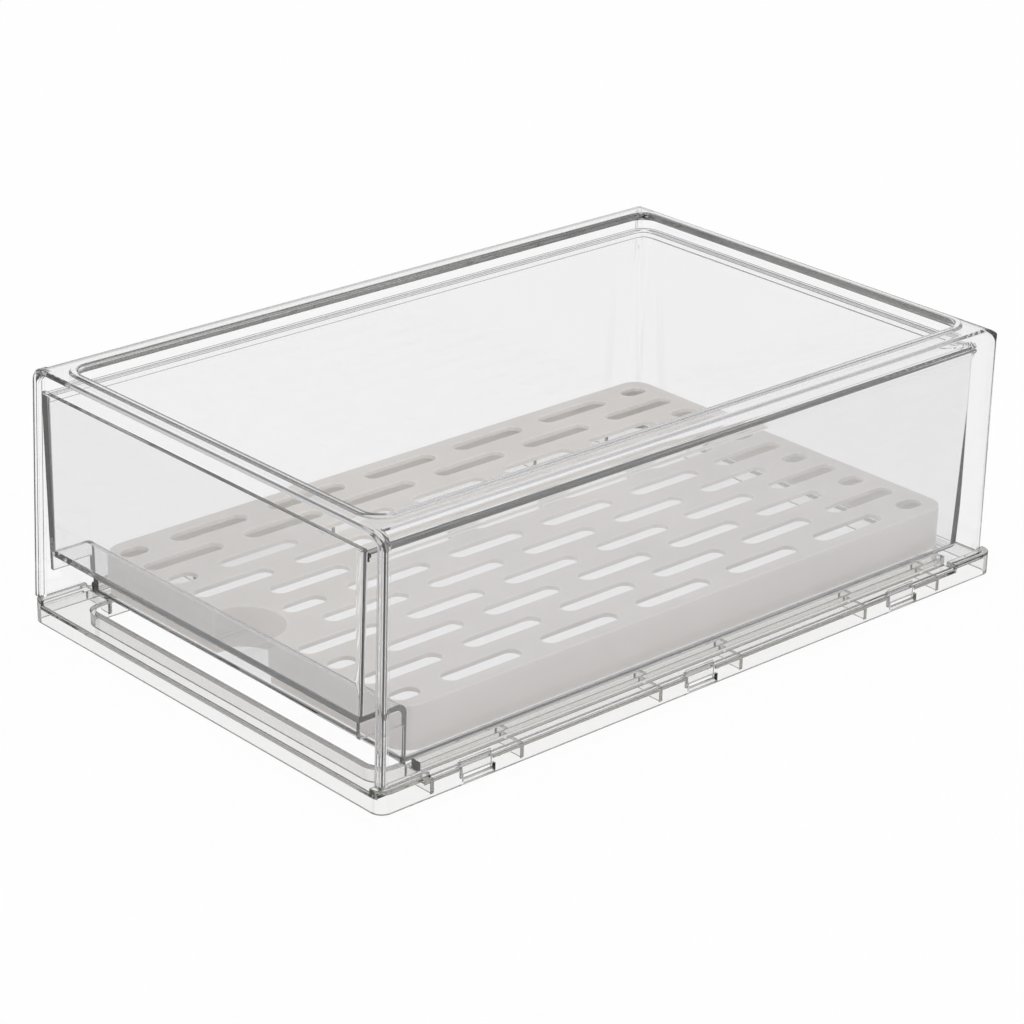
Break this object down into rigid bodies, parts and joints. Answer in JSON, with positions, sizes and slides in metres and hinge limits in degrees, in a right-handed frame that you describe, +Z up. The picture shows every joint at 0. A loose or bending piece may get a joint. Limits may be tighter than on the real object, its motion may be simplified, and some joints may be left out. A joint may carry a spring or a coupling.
{
  "type": "fridge drawer organizer",
  "caption": "Clear stackable fridge bin: an open-topped housing on a base frame, a pull-out drawer with a finger ledge, and a slotted drain plate that lifts out of the drawer.",
  "frame": {"origin": "centre of the footprint, on the surface that the base frame stands on", "axes": "+Z up, -Y towards the front, the way the drawer pulls out, +X to the right as seen from behind the drawer"},
  "size_m": [0.208, 0.32, 0.105],
  "materials": {
    "clear_shell": "clear polished",
    "clear_base": "clear polished",
    "clear_drawer": "clear polished",
    "drain_white": "satin off-white"
  },
  "bodies": {
    "shell": {"housing": "clear_shell", "base_frame": "clear_base"},
    "drawer": {"drawer": "clear_drawer"},
    "drain_plate": {"drain_plate": "drain_white"}
  },
  "joints": [
    {"name": "drawer_slide", "type": "slide", "parent": "shell", "child": "drawer", "axis": [0, -1, 0], "range_m": [0, 0.325]},
    {"name": "drain_plate_lift", "type": "slide", "parent": "drawer", "child": "drain_plate", "axis": [0, 0, 1], "range_m": [0, 0.09]}
  ]
}
